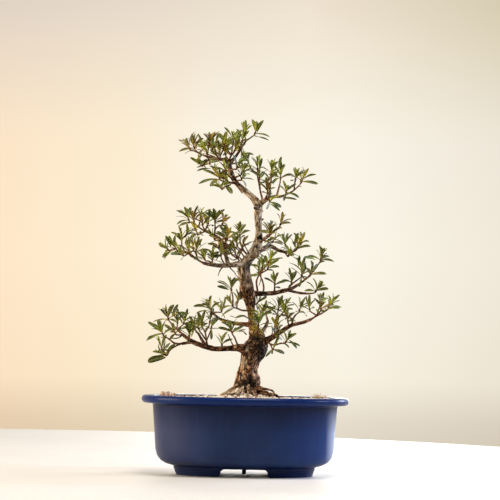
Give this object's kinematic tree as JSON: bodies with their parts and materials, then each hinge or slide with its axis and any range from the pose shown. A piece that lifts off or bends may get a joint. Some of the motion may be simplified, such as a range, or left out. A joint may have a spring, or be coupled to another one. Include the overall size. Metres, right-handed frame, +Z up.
{
  "type": "satsuki azalea bonsai in an oval pot",
  "caption": "Satsuki azalea bonsai: a winding trunk with bare limbs and sparse rosettes of narrow leaves, rooted in a pale pumice mound in a blue oval pot.",
  "frame": {"origin": "centre of the pot's foot, on the plane that it stands on", "axes": "+Z up along the trunk, +X to the right along the pot's length, front faces -Y"},
  "size_m": [0.248, 0.192, 0.425],
  "materials": {
    "pot_plastic": "semi-gloss moulded, lightly scuffed",
    "pumice_soil": "loose porous grit",
    "azalea_bark": "fibrous thin bark",
    "azalea_leaf": "leathery, satin above and matt below",
    "screen_mesh": "matt",
    "clip_wire": "dull drawn wire"
  },
  "bodies": {
    "root": {"drain_screen_left": "screen_mesh", "drain_screen_right": "screen_mesh", "pot": "pot_plastic", "screen_clip_left": "clip_wire", "screen_clip_right": "clip_wire", "soil": "pumice_soil", "spray_apex_knot_back": "azalea_leaf", "spray_apex_knot_left": "azalea_leaf", "spray_apex_left": "azalea_leaf", "spray_apex_right_low": "azalea_leaf", "spray_apex_right_tip": "azalea_leaf", "spray_leader_back": "azalea_leaf", "spray_leader_left": "azalea_leaf", "spray_leader_right": "azalea_leaf", "spray_left_limb_front": "azalea_leaf", "spray_left_olive": "azalea_leaf", "spray_left_tip": "azalea_leaf", "spray_low_back": "azalea_leaf", "spray_low_left_back": "azalea_leaf", "spray_low_left_centre": "azalea_leaf", "spray_low_left_inner": "azalea_leaf", "spray_low_left_leaf": "azalea_leaf", "spray_low_left_out": "azalea_leaf", "spray_low_left_tip": "azalea_leaf", "spray_low_right_inner": "azalea_leaf", "spray_low_right_low": "azalea_leaf", "spray_low_right_tall": "azalea_leaf", "spray_low_right_thin": "azalea_leaf", "spray_low_right_tip": "azalea_leaf", "spray_mid_right_back": "azalea_leaf", "spray_mid_right_front": "azalea_leaf", "spray_mid_right_inner": "azalea_leaf", "spray_mid_right_low": "azalea_leaf", "spray_mid_right_small": "azalea_leaf", "spray_mid_right_tip": "azalea_leaf", "spray_middle_back": "azalea_leaf", "spray_right_centre": "azalea_leaf", "spray_right_tip": "azalea_leaf", "spray_top_centre": "azalea_leaf", "spray_top_right_front": "azalea_leaf", "spray_top_right_inner": "azalea_leaf", "spray_top_right_mid": "azalea_leaf", "spray_top_right_tip": "azalea_leaf", "spray_trunk_back_right": "azalea_leaf", "spray_trunk_fine_left": "azalea_leaf", "spray_trunk_front": "azalea_leaf", "spray_trunk_left": "azalea_leaf", "spray_trunk_left_low": "azalea_leaf", "spray_upper_back": "azalea_leaf", "spray_upper_left_front": "azalea_leaf", "spray_upper_left_inner": "azalea_leaf", "spray_upper_left_tip": "azalea_leaf", "trunk_and_limbs": "azalea_bark"}
  },
  "joints": []
}
